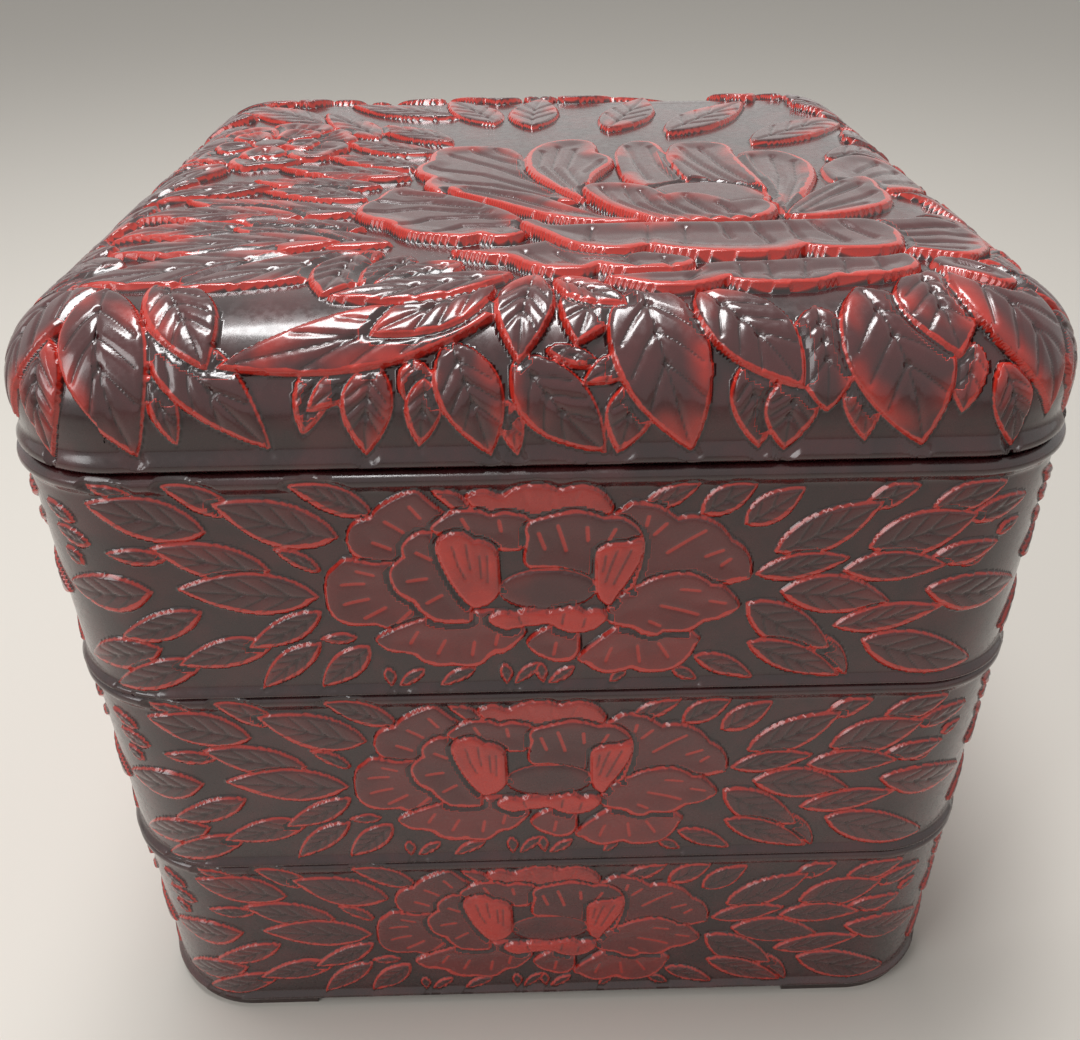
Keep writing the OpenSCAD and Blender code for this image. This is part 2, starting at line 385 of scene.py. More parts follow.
BAND_CURLS = [
    ([(-19.8, 33), (-19.5, 36.3), (-17.2, 37.7), (-15, 37.8), (-13, 36, 0), (-12, 36.2), (-10, 35),
      (-9, 33), (-8.8, 29), (-9.2, 23.5), (-13.8, 21), (-17.6, 26.5)],
     [((-17, 35), (-16.2, 31), (-15, 28)), ((-14.6, 35.5), (-14, 30)), ((-12.3, 33), (-12, 28)),
      ((-10.9, 33), (-11, 27))]),
    ([(8.7, 32.2), (9.5, 34), (11.5, 34.8), (14, 34.9), (17, 35.5), (17.1, 32), (16, 29), (14.5, 26),
      (13, 23.5), (11.5, 21), (9.3, 22.6), (8.7, 27)],
     [((12.5, 33.5), (11.4, 30), (10.5, 26.5)), ((15, 33.5), (13.4, 29.5), (12, 26)),
      ((10.5, 32.5), (10, 29))]),
    ([(-11, 18.7), (-10.5, 17), (-8, 15.7), (-4.5, 16.3), (0, 16.7), (2, 15.5), (5, 14.5), (8, 15),
      (10, 16.3), (11.1, 18), (10.5, 19.6), (8.5, 20), (7, 19.5), (5, 20.8), (0, 19.8), (-4, 20.3),
      (-6, 19.5), (-8, 20), (-10, 19.5)],
     [((-5.5, 19), (-5, 17.3)), ((3, 19.5), (2.6, 17)), ((7, 18.3), (6.5, 16.2))]),
]
SEED_HEAD = ((0.0, 24.5), 9.0, 4.6)

# %% Carve the band
BAND_STEP = 0.45
BAND_GROUND = 1.25
FLAT_HALF = BOX_HALF - CORNER_R
SIDE_RUN = FLAT_HALF + CORNER_R * math.pi / 4
# The plain strips under the rim and over the bottom edge, and the way over which the ground sinks
PLAIN_RIM = 1.6
PLAIN_FOOT = 0.9
RIM_FADE = 2.5
FOOT_FADE = 1.4


def ellipse(centre, half_w, half_h, steps=28):
    turns = [2 * math.pi * k / steps for k in range(steps)]
    return [(centre[0] + half_w * math.cos(a), centre[1] + half_h * math.sin(a)) for a in turns]


def carve_band():
    columns = 2 * round(SIDE_RUN / BAND_STEP) + 1
    rows = round(TIER_H / BAND_STEP) + 1
    s = np.linspace(-SIDE_RUN, SIDE_RUN, columns)
    z = np.linspace(0, TIER_H, rows)
    s, z = np.meshgrid(s, z, indexing="ij")
    below_rim = soft_step((TIER_H - PLAIN_RIM - z) / RIM_FADE)
    above_foot = np.clip((z - PLAIN_FOOT) / FOOT_FADE, 0, 1)
    ground = BAND_GROUND * below_rim * above_foot
    sheet = Sheet(s, z, ground, period=2 * SIDE_RUN)
    for leaves in (BAND_LEAVES_RIGHT, BAND_LEAVES_LEFT, BAND_LEAVES_BELOW):
        for k, (base, tip, width) in enumerate(leaves):
            bend = by_hand(k, 0.03, 2.3, 0.5)
            outline, veins = leaf_shape(base, tip, width * 1.05, bend)
            sheet.carve(outline, top=0.38 + by_hand(k, 0.08, 1.7), drop=0.35, bevel=0.9, cut=0.35,
                        reach=1.2, veins=veins, vein_w=0.55, vein_deep=0.16, rub=1.15)
    for rim_points, fill, strokes in BAND_PETALS:
        sheet.carve(smooth_rim(rim_points), top=0.16, drop=0.3, bevel=0.9, cut=0.55, reach=1.3,
                    dish=0.42, strokes=strokes, vein_w=0.7, vein_deep=0.2, rub=1.25, fill=fill)
    sheet.carve(ellipse(*SEED_HEAD), top=0.62, drop=0.35, bevel=1.6, cut=0.3, reach=0.9, rub=0.2)
    for rim_points, grooves in BAND_CURLS:
        sheet.carve(smooth_rim(rim_points), top=0.05, drop=0.3, bevel=1.1, cut=0.75, reach=1.4,
                    dish=0.1, veins=grooves, vein_w=0.6, vein_deep=0.2, rub=1.3, fill=1.0)
    return s, z, sheet


band_s, band_z, band = carve_band()
print("Band carved on", band_s.shape, "points, deepest cut", round(float(band.depth.max()), 2), "mm")

# %% [markdown]
# The carving on the lid
#
# The lid's carving lies on its top, runs over the wide rolled edge and ends low on its sides. Its sheet is
# the lid flattened: a square for the flat top, then the length of the roll and of the side all round, with
# fans in the corners. A large peony sits right of the middle, a smaller one behind it on the left.

# %% Lay out the lid's leaves
# X and Y on the flattened lid. The edge leaves are laid along the front and turned to the other sides.
LID_EDGE_LEAVES = [
    ((88, -84), (109, -93), 12), ((76, -98), (85.5, -112.5), 10), ((71, -94), (69.5, -107), 6),
    ((-64.5, -97), (-62, -110.5), 5), ((-37, -95), (-40.8, -109), 6), ((-29, -97), (-39.5, -104.5), 5.5),
    ((-22, -95), (-21, -105.5), 6), ((-20, -99), (-21.5, -111.5), 6), ((-28, -96), (-30.6, -113), 8.5),
    ((-7, -103), (-5, -113.5), 4), ((0, -94), (9.5, -97.5), 4), ((15, -96), (6, -100.5), 5),
    ((15, -100), (12, -113.5), 8), ((33, -97), (36, -113), 8), ((42, -99), (40.3, -113.6), 9),
    ((51, -98), (54, -112), 6.5), ((-16, -92), (-9.5, -113.4), 11), ((-5, -95), (10, -113.4), 12),
    ((-66, -88), (-46.5, -111.5), 11.5), ((-66, -75), (-55.5, -97), 12), ((-75, -77), (-69, -112.6), 16),
    ((-6, -84), (-54, -96.5), 13), ((-8, -78), (-29, -91), 11), ((-1, -74), (-4.5, -96.8), 10),
    ((10, -76), (5, -93.5), 11), ((45, -86), (46.7, -106.5), 11.5), ((16, -78), (24.7, -113.4), 16.5),
    ((26, -81), (42.5, -102), 13.5), ((53, -81), (64, -113.2), 18), ((65, -75), (68.5, -97), 13.5),
    ((70, -76), (94, -103.5), 17),
]
LID_TOP_LEAVES = [
    ((-20, 55), (-52, 74), 12), ((-10, 45), (-24, 78), 13), ((0, 40), (4, 80), 14),
    ((20, 35), (34, 78), 14), ((35, 30), (62, 70), 14), ((55, 20), (88, 52), 14),
    ((70, 5), (96, 22), 13), ((72, -22), (100, -18), 13), ((74, -45), (101, -46), 13),
    ((68, -60), (98, -70), 13), ((-55, 45), (-88, 76), 13),
    ((-72, 42), (-101, 52), 12), ((-78, 22), (-103, 18), 12), ((-72, 6), (-99, -10), 12),
    ((-20, 22), (-44, 44), 10), ((-24, 12), (-48, 27), 10), ((-40, 30), (-58, 62), 11),
    ((-26, -2), (-50, 12), 9), ((-28, -10), (-60, 2), 9.5), ((-58, -12), (-84, -20), 10),
    ((-34, -16), (-64, -8), 9.5), ((-36, -26), (-60, -17), 9), ((-36, -36), (-76, -22.5), 11),
    ((-48, -38), (-84, -34), 10), ((-34, -46), (-60, -40), 9), ((-54, -46), (-86, -45), 10),
    ((-28, -55), (-61, -43.5), 10), ((-38, -54), (-82, -57.5), 12), ((-46, -60), (-84, -74), 14),
    ((-29, -60), (-64, -77), 12.5), ((-34, -60), (-38, -80), 11), ((-24, -62), (-31, -79), 10),
    ((-14, -66), (-30, -78), 9), ((-5, -72), (-37, -81), 9.5), ((2, -74), (14, -84), 8),
]

# %% Lay out the lid's large peony
# Each petal is (rim, level, strokes), from the ones at the back to the ones in front.
LID_PETALS = [
    ([(66, -18), (66, -6), (70, 1), (74, 5), (80, 6.5), (87, 4), (91, -3), (90.5, -12), (86, -19),
      (78, -24), (70, -26)], 0.9,
     [((86, -2), (76, -12)), ((82, 2), (74, -8)), ((88, -9), (78, -17))]),
    ([(8, -32), (-19, -24.8), (-22.5, -22), (-24.9, -17), (-23.8, -12.4, 0), (-27, -8), (-27.4, -2),
      (-25, 3, 0), (-24.8, 10), (-22, 15), (-16, 16.4), (-9, 15), (-4, 10.6), (0, -6)], 0.75,
     [((-20, 9), (-8, -4), (4, -22)), ((-15, 13), (-5, 0), (4, -16)), ((-9, 12), (-2, 0), (4, -12)),
      ((-24, -3), (-12, -9), (3, -25)), ((-21, -14), (-9, -18), (2, -28))]),
    ([(49, -26), (46.8, -8), (47.2, 3), (50, 8.2), (53.6, 9.7), (58, 10.2), (62, 7), (64.7, -1),
      (63.4, -12), (59, -24), (54, -36), (50, -41)], 0.8,
     [((61, 0), (58, -16), (51, -36)), ((57, 5), (55, -12), (50, -32)), ((52, 5), (51, -8), (49.5, -22))]),
    ([(20, -16), (19.4, 4), (20.6, 14), (23.5, 19.3), (27, 20.4), (30.5, 18.5), (32, 11), (33, 0),
      (36, -16), (28, -26)], 0.95,
     [((23, 14), (23.5, 0), (25, -14)), ((28.5, 14), (28.5, 0), (31, -14))]),
    ([(34, -18), (31.7, 2), (32.6, 11), (34.4, 16.4), (38, 18.2), (44, 18.3), (48.2, 15), (48.3, 6),
      (49, -5), (50, -20), (48, -34), (40, -30)], 0.75,
     [((36, 12), (39, -2), (46, -24)), ((41, 13), (43.5, -4), (48, -22)),
      ((33.5, 3), (37, -8), (43, -24))]),
    ([(10, -31), (4, -22), (-0.6, -12), (-2.2, -2), (-1.6, 8), (1, 15.4), (5, 19.8), (10, 21.3),
      (14.4, 19), (15.6, 13.5), (15, 8, 0), (18.2, 3.5), (18.2, -2), (15.6, -8), (12.6, -16)], 0.6,
     [((2, 9), (0.8, -4), (6, -22)), ((6, 14), (4, -4), (8, -22)), ((10, 12), (7.5, -4), (9.5, -20)),
      ((15.5, 0), (11.5, -10))]),
    ([(50, -42), (57, -29), (64, -20.4), (69.6, -15.4), (73.4, -14), (75.3, -18), (74.6, -23, 0),
      (75.3, -28), (73.7, -34), (69, -38.4), (62, -42.4), (55, -44.6)], 0.55,
     [((71, -20), (62, -29), (53, -41)), ((72, -27), (62, -35), (53, -42)), ((68, -35), (59, -40)),
      ((67, -19.5), (58, -31), (51, -41))]),
]
LID_FRONT_PETALS = [
    ([(-8, -36), (-19.6, -26), (-24.6, -23.6), (-28, -20.4), (-32, -22.4), (-34, -29, 0), (-36.6, -33),
      (-37.2, -38), (-34.6, -42.5), (-30, -45.6), (-28.6, -48, 0), (-26, -51.2), (-20, -53.7), (-15, -55),
      (-11.5, -53.6, 0), (-8, -55.2), (-4, -53.8), (-1.6, -49), (-3, -44)], 0.45,
     [((-33, -31), (-22, -31), (-12, -36)), ((-35, -38), (-24, -35), (-10, -39)),
      ((-27, -46.5), (-22, -42), (-12, -41), (-5, -44)), ((-20, -51), (-15, -46.5), (-6, -47)),
      ((-29, -25), (-20, -28.5))]),
    ([(-19.4, -21.6), (-16, -20.3), (-11.5, -22), (-5, -25), (0, -28), (5, -34), (10, -40), (15, -44),
      (22, -46), (14, -47.6), (4, -44.6), (-4, -38.2), (-11, -31.4), (-17.4, -25.4)], 0.3,
     [((-15, -23), (-5, -29), (4, -38), (14, -45)), ((-16, -24.6), (-6, -32.6), (2, -40))]),
    ([(10, -26), (10.8, -21.6), (15, -20.2), (20, -21), (24.4, -24), (27, -29.4, 0), (31, -27.8),
      (36, -30), (40, -35, 0), (43.5, -33.4), (46.6, -34), (48.8, -38), (47.2, -43), (43, -46.4),
      (35, -47.2), (25, -46.6), (19, -43), (14, -36.6)], 0.2,
     [((14, -24), (16, -33), (24, -45)), ((19, -24), (20, -34), (27, -45.6)),
      ((26, -31), (29, -38), (34, -46)), ((31, -31), (34, -39), (38, -46)),
      ((37, -36), (40, -42), (42, -45.6)), ((22, -27), (24, -36), (30, -46))]),
    ([(10.6, -75.6), (18, -74), (25, -72), (31, -69.5), (40, -69), (50, -68), (60, -68), (66, -66.6),
      (67.2, -72), (64, -75.6), (58, -77.6), (51, -78.3, 0), (47, -79.9), (40, -80.4), (34, -79.6),
      (32, -77.8, 0), (27, -80.2), (20, -80.6), (15, -78.8)], 0.5,
     [((35, -71), (35, -77)), ((40, -71), (40, -78)), ((47, -70), (45.5, -77)), ((54, -70), (53, -76)),
      ((60, -70), (60, -75)), ((28, -73), (25, -77.5))]),
    ([(-17, -61), (-12, -61.4), (-7, -60.4), (-1, -58), (4, -56), (12, -62), (20, -64), (27, -67),
      (26.4, -71.4), (20, -72.7), (13, -72.2), (10, -70.6, 0), (7, -72.6), (1, -72.2), (-3, -69.6),
      (-6, -66), (-11, -64.6)], 0.45,
     [((-3, -63), (1, -69)), ((3, -63), (7, -69.5)), ((15, -66), (17, -70.5)), ((22, -67.5), (23, -71))]),
    ([(70, -73), (69.6, -70), (72, -67.8), (75, -68.6), (79, -72), (83, -78), (80, -80.4), (75, -78),
      (72, -75.4)], 0.6, [((74, -71), (78, -76))]),
    ([(64, -48), (72, -45.6), (80, -45), (86, -49), (87, -56), (83, -63.4), (78, -68), (72, -66.4),
      (66, -62.4)], 0.5,
     [((82, -49), (70, -51)), ((84, -53.6), (70, -55)), ((82, -59), (70, -59)), ((78, -64), (70, -62.4))]),
    ([(-3.8, -47), (-2.6, -45), (0, -46), (2.6, -49), (10, -48.6), (25, -48.2), (40, -48.6), (55, -47.6),
      (64.6, -47.4), (68.3, -53), (68.2, -59), (66, -64), (60, -65.7), (52, -65), (49, -63.2, 0),
      (45, -65.8), (38, -66.5), (30, -65.8), (24, -64), (20, -61.8, 0), (15, -63.8), (10, -63),
      (5, -60), (2, -56), (0, -53, 0), (-2.6, -50)], 0.1,
     [((21, -50), (20, -60)), ((35, -50), (36, -57)), ((41, -50), (43, -60)), ((48, -50), (49.5, -61)),
      ((53, -50), (57, -60)), ((59, -50), (63, -58)), ((10, -52), (9, -58)), ((28, -52), (27, -60))]),
]
LID_SEED_HEAD = ((36.5, -25.0), 12.5, 9.5)

# %% Work out the small peony
SMALL_PEONY = (-67, 26)
SMALL_PEONY_R = 22
SMALL_SEED_HEAD = (SMALL_PEONY, 4.5, 4)
# Where the first petal points, in radians
FIRST_PETAL = 0.35
# Each ring of petals is (count, where a petal starts, where it ends, level), as shares of the radius.
SMALL_RINGS = [(7, 0.3, 1.0, 0.8), (5, 0.12, 0.64, 0.55)]
# A petal's rim from its start and back to it, as (share of its length, angle aside).
PETAL_RIM = [(0.62, 0.54), (0.88, 0.45), (1.0, 0.21), (0.95, 0.0, 0), (1.01, -0.225), (0.86, -0.465),
             (0.6, -0.54)]
# Half the angle that a petal takes where it starts
PETAL_ROOT = 0.24
# A petal's strokes: the angles aside, where each starts and ends, and how they draw together inwards
STROKE_ASIDE = (-0.18, 0.0, 0.18)
STROKE_FROM = 0.45
STROKE_TO = 0.82
STROKE_GATHER = 0.6


def small_peony(centre, size):
    """Rims of a peony's petals in two rings, worked out from its middle and its size."""

    def place(r, a, *notch):
        return (centre[0] + size * r * math.cos(a), centre[1] + size * r * math.sin(a), *notch)

    petals = []
    for ring, (count, inner, outer, level) in enumerate(SMALL_RINGS):
        for k in range(count):
            turn = 2 * math.pi * (k + 0.5 * ring) / count + FIRST_PETAL
            reach = outer * (1 + by_hand(k, 0.09, 2.6, ring))
            shape = [(inner, PETAL_ROOT)] + PETAL_RIM + [(inner, -PETAL_ROOT)]
            rim = [place(reach * out, turn + aside, *notch) for out, aside, *notch in shape]
            strokes = [[place(reach * STROKE_FROM, turn + aside * STROKE_GATHER),
                        place(reach * STROKE_TO, turn + aside)] for aside in STROKE_ASIDE]
            petals.append((rim, level, strokes))
    return petals


# %% Spread the lid flat and carve it
LID_STEP = 0.5
LID_FLAT = LID_HALF - ROLL_W
# How deep the ground is cut on the flat top, and low on the rolled edge
LID_GROUND = 2.3
LID_EDGE_GROUND = 1.2
# Where on the rolled edge, measured from the flat top, the one goes over into the other
GROUND_CHANGE = (22, 34)
# The plain strip at the lid's foot, and the way over which the ground sinks above it
LID_PLAIN_FOOT = 1.5
LID_FOOT_FADE = 3
# The place on the lid from which its cut edges are seen as facing outwards
RUB_MIDDLE = (10.0, -10.0)
# How far the flat top falls from its middle to its edge, and where the roll has taken that up
LID_CROWN = 0.9
CROWN_END = 20
ROLL_STEPS = 240
FOOT_STEPS = 24


def edge_profile():
    """Inset, height and outward direction along the lid's outer edge, against the length run."""
    turn = np.linspace(0, math.pi / 2, ROLL_STEPS)
    inset = ROLL_W * (1 - np.sin(turn))
    height = LID_H - ROLL_H * (1 - np.cos(turn))
    low = np.linspace(0, math.pi / 2, FOOT_STEPS)
    inset = np.concatenate([inset, BOTTOM_ROUND * (1 - np.cos(low))])
    height = np.concatenate([height, BOTTOM_ROUND * (1 - np.sin(low))])
    length = np.concatenate([[0], np.cumsum(np.hypot(np.diff(inset), np.diff(height)))])
    out = -np.gradient(height, length)
    up = -np.gradient(inset, length)
    size = np.hypot(out, up)
    return length, inset, height, out / size, up / size


EDGE_LENGTH, EDGE_INSET, EDGE_HEIGHT, EDGE_OUT, EDGE_UP = edge_profile()
LID_RUN = LID_FLAT + EDGE_LENGTH[-1]


def lid_grid():
    """The flattened lid's points: a square grid whose corners are drawn round into fans."""
    count = 2 * round(LID_RUN / LID_STEP) + 1
    line = np.linspace(-LID_RUN, LID_RUN, count)
    a, b = np.meshgrid(line, line, indexing="ij")
    ox = np.maximum(np.abs(a) - LID_FLAT, 0)
    oy = np.maximum(np.abs(b) - LID_FLAT, 0)
    ring = np.maximum(ox, oy)
    safe = np.maximum(ring, 1e-9)
    turn = np.where(ox >= oy, math.pi / 4 * oy / safe, math.pi / 2 - math.pi / 4 * ox / safe)
    corner = (ox > 0) & (oy > 0)
    x = np.where(corner, LID_FLAT + ring * np.cos(turn), np.abs(a))
    y = np.where(corner, LID_FLAT + ring * np.sin(turn), np.abs(b))
    return x * np.sign(a), y * np.sign(b), ring


def turned(points, quarter):
    """Points on the flattened lid, turned by quarter turns."""
    c, s = QUARTER_TURNS[quarter]
    return [(c * x - s * y, s * x + c * y) for x, y in points]


def carve_lid():
    x, y, ring = lid_grid()
    start, end = GROUND_CHANGE
    down_the_roll = np.clip((ring - start) / (end - start), 0, 1)
    above_foot = soft_step((EDGE_LENGTH[-1] - LID_PLAIN_FOOT - ring) / LID_FOOT_FADE)
    ground = (LID_GROUND + (LID_EDGE_GROUND - LID_GROUND) * down_the_roll) * above_foot
    sheet = Sheet(x, y, ground, out_from=RUB_MIDDLE)
    leaf = dict(drop=0.5, bevel=1.2, cut=0.5, reach=1.8, vein_w=0.9, vein_deep=0.34, rub=1.1)
    for quarter in (2, 1, 3, 0):
        for k, (base, tip, width) in enumerate(LID_EDGE_LEAVES):
            start, end = turned([base, tip], quarter)
            outline, veins = leaf_shape(start, end, width, by_hand(k, 0.03, 2.1, 0.4), steps=14)
            sheet.carve(outline, top=0.45 + by_hand(k, 0.12, 1.9), veins=veins, **leaf)
    for k, (base, tip, width) in enumerate(LID_TOP_LEAVES):
        outline, veins = leaf_shape(base, tip, width, by_hand(k, 0.05, 2.9, 1), steps=14)
        sheet.carve(outline, top=0.95 + by_hand(k, 0.15, 1.3), veins=veins, **leaf)
    petal = dict(drop=0.5, bevel=1.3, reach=2.2, vein_w=1.2, vein_deep=0.5, rub=1.6)
    for rim_points, level, strokes in small_peony(SMALL_PEONY, SMALL_PEONY_R):
        sheet.carve(smooth_rim(rim_points), top=level, cut=0.6, dish=0.5, veins=strokes, **petal)
    sheet.carve(ellipse(*SMALL_SEED_HEAD), top=0.7, drop=0.5, bevel=2, cut=0.4, reach=1.5)
    for rim_points, level, strokes in LID_PETALS:
        sheet.carve(smooth_rim(rim_points), top=level, cut=0.8, dish=0.6, veins=strokes, **petal)
    sheet.carve(ellipse(*LID_SEED_HEAD), top=1.3, drop=0.6, bevel=3, cut=0.4, reach=1.2, rub=0.2)
    for rim_points, level, strokes in LID_FRONT_PETALS:
        sheet.carve(smooth_rim(rim_points), top=level, cut=1.3, dish=0.6, veins=strokes, **petal)
    return x, y, ring, sheet


lid_x, lid_y, lid_ring, lid_sheet = carve_lid()
print("Lid carved on", lid_x.shape, "points, deepest cut", round(float(lid_sheet.depth.max()), 2), "mm")

# %% [markdown]
# Wrapping the carved sheets into solid boards
#
# A visible carving has to be real geometry, so each point of a sheet becomes a vertex, sunk square to the
# board's face by its depth. The rest of the board closes the shape: the rim, the plain inner face, the
# notch that the floor sits in, and the two mitres. The neighbours' slopes are used for the normals along
# a mitre, because on the real box the lacquer runs over that joint without a line.

# %% Turn arrays of points and faces into a mesh object


def make_mesh(name, points, quads, ngons, carved_count, normals, fields, material):
    """A closed mesh in metres. The first carved_count quads are smooth, the other faces are flat."""
    mesh = bpy.data.meshes.new(name)
    loops = np.concatenate([quads.ravel()] + [np.array(f) for f in ngons])
    sizes = np.concatenate([np.full(len(quads), 4), [len(f) for f in ngons]]).astype(int)
    starts = np.concatenate([[0], np.cumsum(sizes)[:-1]])
    mesh.vertices.add(len(points))
    mesh.vertices.foreach_set("co", (points * MM).astype(np.float32).ravel())
    mesh.loops.add(len(loops))
    mesh.loops.foreach_set("vertex_index", loops.astype(np.int32))
    mesh.polygons.add(len(sizes))
    mesh.polygons.foreach_set("loop_start", starts.astype(np.int32))
    carved = np.zeros(len(sizes), bool)
    carved[:carved_count] = True
    mesh.polygons.foreach_set("use_smooth", carved)
    mesh.update(calc_edges=True)
    mesh.validate()
    for field, values in fields.items():
        away = FAR if field in ("edge", "vein", "stroke") else 0
        full = np.full(len(points), away, np.float32)
        full[:len(values)] = values
        mesh.attributes.new(field, "FLOAT", "POINT").data.foreach_set("value", full)
    flat = np.zeros(len(sizes) * 3, np.float32)
    mesh.polygons.foreach_get("normal", flat)
    split = np.repeat(flat.reshape(-1, 3), sizes, axis=0)
    smooth = carved_count * 4
    split[:smooth] = normals[loops[:smooth]]
    mesh.normals_split_custom_set(split.tolist())
    mesh.materials.append(material)
    piece = bpy.data.objects.new(name, mesh)
    bpy.context.scene.collection.objects.link(piece)
    return piece


def unit(v):
    return v / np.maximum(np.linalg.norm(v, axis=-1, keepdims=True), 1e-12)


def turn_z(points, quarter):
    c, s = QUARTER_TURNS[quarter]
    out = points.copy()
    out[..., 0] = c * points[..., 0] - s * points[..., 1]
    out[..., 1] = s * points[..., 0] + c * points[..., 1]
    return out


def quad_faces(grid):
    return np.stack([grid[:-1, :-1], grid[1:, :-1], grid[1:, 1:], grid[:-1, 1:]], axis=-1).reshape(-1, 4)


def sheet_fields(sheet, pick=slice(None)):
    return {name: getattr(sheet, name)[pick] for name in ("edge", "vein", "stroke", "rub", "fill")}


# %% Wrap the band round the front board
INNER_CHAMFER = 0.5


def board_inset(z):
    """How far the board's rounded rim and rounded bottom edge lie inside its face."""
    low = np.clip(BOTTOM_ROUND - z, 0, BOTTOM_ROUND)
    high = np.clip(z - (TIER_H - RIM_ROUND), 0, RIM_ROUND)
    at_bottom = BOTTOM_ROUND - np.sqrt(BOTTOM_ROUND**2 - low**2)
    at_rim = RIM_ROUND - np.sqrt(RIM_ROUND**2 - high**2)
    return at_bottom + at_rim


def wrap_band():
    """The carved face of the front board, as a grid of points and of normals."""
    s, z = band_s, band_z
    turn = np.sign(s) * np.clip(np.abs(s) - FLAT_HALF, 0, None) / CORNER_R
    nx, ny = np.sin(turn), -np.cos(turn)
    flat = np.clip(s, -FLAT_HALF, FLAT_HALF)
    out = CORNER_R - board_inset(z) - band.depth.reshape(s.shape)
    face = np.stack([flat + nx * out, -FLAT_HALF + ny * out, z], axis=-1)
    # The next board's first column, and the last board's last one, carry the slope over the mitres
    before = turn_z(face[-2:-1], 3)
    after = turn_z(face[1:2], 1)
    along = np.concatenate([before, face, after])
    along = along[2:] - along[:-2]
    up = np.gradient(face, axis=1)
    return face, unit(np.cross(along, up))


face, face_normals = wrap_band()
print("Front face", np.round(np.ptp(face, axis=(0, 1)), 1), "mm")

# %% Close the board and set it on its side of the box


def inner_line(columns):
    """Where the board's plain inner face runs, column by column, and the notch for the floor."""
    t = np.linspace(-1, 1, columns)

    def line(inset, z):
        half = BOX_HALF - inset
        return np.stack([t * half, np.full(columns, -half), np.full(columns, z)], axis=-1)

    wall = BOX_HALF - SIDE_T
    groove_r = CORNER_R - (BOX_HALF - GROOVE_HALF)
    x = t * wall
    past = np.clip(np.abs(x) - FLAT_HALF, 0, None)
    notch = FLAT_HALF + np.sqrt(np.maximum(groove_r**2 - past**2, 0))
    notch = np.maximum(notch, wall)
    top = np.stack([x, -notch, np.full(columns, FLOOR_TOP)], axis=-1)
    low = np.stack([x, -notch, np.zeros(columns)], axis=-1)
    chamfer = [line(SIDE_T - INNER_CHAMFER, TIER_H), line(SIDE_T, TIER_H - INNER_CHAMFER)]
    return chamfer + [line(SIDE_T, FLOOR_TOP), top, low]


def board_faces(columns, rows, inner_rows):
    """The carved quads, all the quads, and the two mitres of a board whose section is a closed ring."""
    grid = np.arange(columns * rows).reshape(columns, rows)
    inner = columns * rows + np.arange(columns * inner_rows).reshape(inner_rows, columns)
    ids = np.concatenate([grid, inner.T], axis=1)
    ring = rows + inner_rows
    carved = quad_faces(grid)
    rest = []
    for k in range(rows - 1, ring):
        low, high = ids[:, k], ids[:, (k + 1) % ring]
        rest.append(np.stack([low[:-1], low[1:], high[1:], high[:-1]], axis=-1))
    return carved, np.concatenate([carved] + rest), [list(ids[0]), list(ids[-1][::-1])]


def side_board(tier, quarter, material):
    columns, rows = face.shape[:2]
    inner = inner_line(columns)
    carved, quads, ends = board_faces(columns, rows, len(inner))
    points = turn_z(np.concatenate([face.reshape(-1, 3)] + inner), quarter)
    points[:, 2] += TIER_Z[tier]
    normals = turn_z(face_normals.reshape(-1, 3), quarter)
    side = tier + "_" + SIDES[quarter]
    fields = sheet_fields(band)
    piece = make_mesh(side + "_carved_side", points, quads, ends, len(carved), normals, fields, material)
    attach(piece, tier + "_tier")
    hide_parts(side + "_side")
    return piece


# %% [markdown]
# The lid in quarters
#
# On the real lid the peony runs over the joints between the panel and its rails, so the carving here is one
# sheet over both. One mesh for the whole lid would be too heavy for a single piece, so it is closed in four
# quarters, which meet on flat cuts through the middle and share their normals along them.

# %% Wrap the lid's sheet


def wrap_lid():
    """The carved face of the lid, as a grid of points and of normals."""
    inset = np.interp(lid_ring, EDGE_LENGTH, EDGE_INSET)
    height = np.interp(lid_ring, EDGE_LENGTH, EDGE_HEIGHT)
    out = np.interp(lid_ring, EDGE_LENGTH, EDGE_OUT) * (lid_ring > 0)
    up = np.interp(lid_ring, EDGE_LENGTH, EDGE_UP)
    up = np.where(lid_ring > 0, up, 1.0)
    ox = np.maximum(np.abs(lid_x) - LID_FLAT, 0)
    oy = np.maximum(np.abs(lid_y) - LID_FLAT, 0)
    far = np.maximum(np.hypot(ox, oy), 1e-9)
    dx, dy = ox / far, oy / far
    depth = lid_sheet.depth.reshape(lid_x.shape)
    corner = (ox > 0) & (oy > 0)
    hub = LID_HALF - LID_CORNER_R
    reach = LID_CORNER_R - inset - out * depth
    straight = LID_HALF - inset - out * depth
    x = np.where(corner, hub + reach * dx, np.where(ox > 0, straight, np.abs(lid_x)))
    y = np.where(corner, hub + reach * dy, np.where(oy > 0, straight, np.abs(lid_y)))
    middle = np.maximum(np.abs(lid_x), np.abs(lid_y)).clip(max=LID_FLAT) / LID_FLAT
    sink = LID_CROWN * middle**2 * np.clip(1 - lid_ring / CROWN_END, 0, 1)
    z = height - up * depth - sink
    points = np.stack([x * np.sign(lid_x), y * np.sign(lid_y), z + LID_Z], axis=-1)
    along = np.gradient(points, axis=0)
    across = np.gradient(points, axis=1)
    return points, unit(np.cross(along, across))


lid_face, lid_normals = wrap_lid()
print("Lid's face", np.round(np.ptp(lid_face, axis=(0, 1)), 1), "mm")

# %% Close a quarter of the lid
QUADRANTS = ["front_right", "back_right", "back_left", "front_left"]


def outer_walk(corner, mid, last):
    """The grid places along the lid's foot in one quarter, walked anticlockwise seen from above."""
    if corner == 0:
        return [(i, 0) for i in range(mid, last + 1)] + [(last, j) for j in range(1, mid + 1)]
    return [(last - j, i) for i, j in outer_walk(corner - 1, mid, last)]


